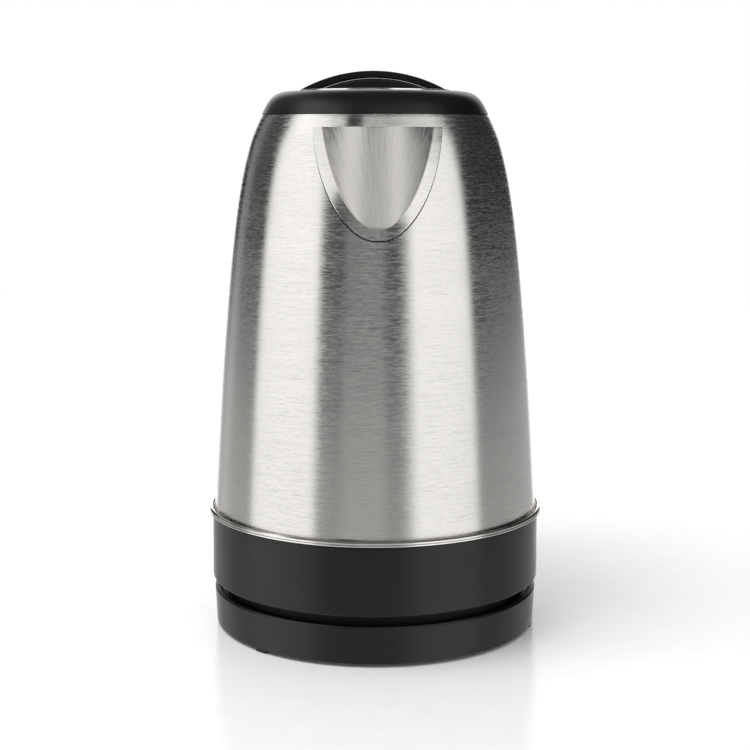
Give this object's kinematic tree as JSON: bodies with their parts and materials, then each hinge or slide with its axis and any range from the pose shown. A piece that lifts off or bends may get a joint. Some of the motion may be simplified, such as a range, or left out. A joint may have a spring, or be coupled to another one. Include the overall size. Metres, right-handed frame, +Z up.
{
  "type": "electric kettle",
  "caption": "Tall cordless kettle with a tapered brushed steel body, pressed spout, black collar, lid and rear handle, lifting off a round black power base.",
  "frame": {"origin": "on the table at the middle of the object's box, under the rubber feet", "axes": "+Z up; +Y towards the handle, so the spout points along -Y; +X to the right of someone facing the spout"},
  "size_m": [0.1538, 0.1989, 0.2541],
  "materials": {
    "brushed_steel": "satin stainless steel, brushed round the body",
    "polished_steel": "polished stainless steel",
    "black_plastic": "black, satin to semi-gloss, fine moulded skin",
    "dark_plastic": "black, matt, fine spark-eroded texture",
    "white_plastic": "natural glass-filled plastic, matt",
    "rubber": "black rubber, matt",
    "silicone": "translucent white silicone",
    "aluminium": "pressed, matt",
    "brass": "bright",
    "spring_steel": "zinc-plated or bright spring steel",
    "lens": "clear red, polished",
    "wire_sleeve": "heat-proof sleeve, satin"
  },
  "bodies": {
    "power_base": {"base_upper_shell": "black_plastic", "base_lower_cover": "dark_plastic", "base_connector": "white_plastic", "live_contact_ring": "brass", "neutral_contact_ring": "brass", "earth_pin": "brass", "base_foot_1": "rubber", "base_foot_2": "rubber", "base_foot_3": "rubber", "base_screw_1": "spring_steel", "base_screw_2": "spring_steel", "base_screw_3": "spring_steel", "cord_gland": "rubber", "cord_clamp": "dark_plastic"},
    "socket": {"socket_housing": "white_plastic", "socket_contact_tube": "brass"},
    "kettle": {"bimetal_disc": "brass", "body_shell": "brushed_steel", "bottom_cover": "dark_plastic", "button_spring": "spring_steel", "collar": "black_plastic", "collar_gasket": "silicone", "control_unit": "white_plastic", "cover_screw_1": "spring_steel", "cover_screw_2": "spring_steel", "cover_screw_3": "spring_steel", "handle_bracket_lower": "polished_steel", "handle_bracket_upper": "polished_steel", "handle_cover": "dark_plastic", "handle_screw_lower": "spring_steel", "handle_screw_upper": "spring_steel", "handle_shell": "black_plastic", "heat_spreader": "aluminium", "heater_plate": "polished_steel", "heating_element": "aluminium", "hinge_bracket": "black_plastic", "lever_pin": "spring_steel", "lid_hinge_pin": "spring_steel", "lid_spring": "spring_steel", "lower_housing": "black_plastic", "overheat_disc_left": "brass", "overheat_disc_right": "brass", "plate_seal": "silicone", "spout": "brushed_steel", "steam_switch": "white_plastic", "steam_tube": "silicone", "switch_lead_left": "wire_sleeve", "switch_lead_right": "wire_sleeve", "trim_ring": "polished_steel"},
    "lid": {"lid_cover": "black_plastic", "lid_liner": "polished_steel", "lid_gasket": "silicone"},
    "release_button": {"lid_button": "dark_plastic"},
    "catch": {"lid_catch": "spring_steel"},
    "lever": {"switch_lever": "dark_plastic", "lever_lens": "lens"},
    "plunger": {"switch_plunger": "white_plastic"},
    "spout_filter": {"filter_frame": "dark_plastic", "filter_mesh": "polished_steel"}
  },
  "joints": [
    {"name": "kettle_lift", "type": "slide", "parent": "power_base", "child": "socket", "axis": [0, 0, 1], "range_m": [0, 0.06]},
    {"name": "kettle_turn", "type": "hinge", "parent": "socket", "child": "kettle", "pos_m": [0, -0.02255, 0.02], "axis": [0, 0, 1], "continuous": true},
    {"name": "lid_hinge", "type": "hinge", "parent": "kettle", "child": "lid", "pos_m": [0, 0.00745, 0.2453], "axis": [-1, 0, 0], "range_deg": [0, 80]},
    {"name": "button_press", "type": "slide", "parent": "kettle", "child": "release_button", "axis": [0, 0, -1], "range_m": [0, 0.0025], "stiffness_N_per_m": 500, "springref_m": -0.001, "deforming": ["button_spring"]},
    {"name": "catch_slide", "type": "slide", "parent": "kettle", "child": "catch", "axis": [0, 1, 0], "range_m": [0, 0.0023]},
    {"name": "lever_hinge", "type": "hinge", "parent": "kettle", "child": "lever", "pos_m": [0, 0.06345, 0.044], "axis": [-1, 0, 0], "range_deg": [0, 14]},
    {"name": "plunger_slide", "type": "slide", "parent": "kettle", "child": "plunger", "axis": [0, 0, 1], "range_m": [0, 0.00078]},
    {"name": "filter_slide", "type": "slide", "parent": "kettle", "child": "spout_filter", "axis": [0, 1, 0], "range_m": [0, 0.015]}
  ],
  "couplings": [
    {"joint": "catch_slide", "follows": "button_press", "ratio": 0.9},
    {"joint": "lever_hinge", "follows": "plunger_slide", "rad_per_m": 312.5}
  ]
}
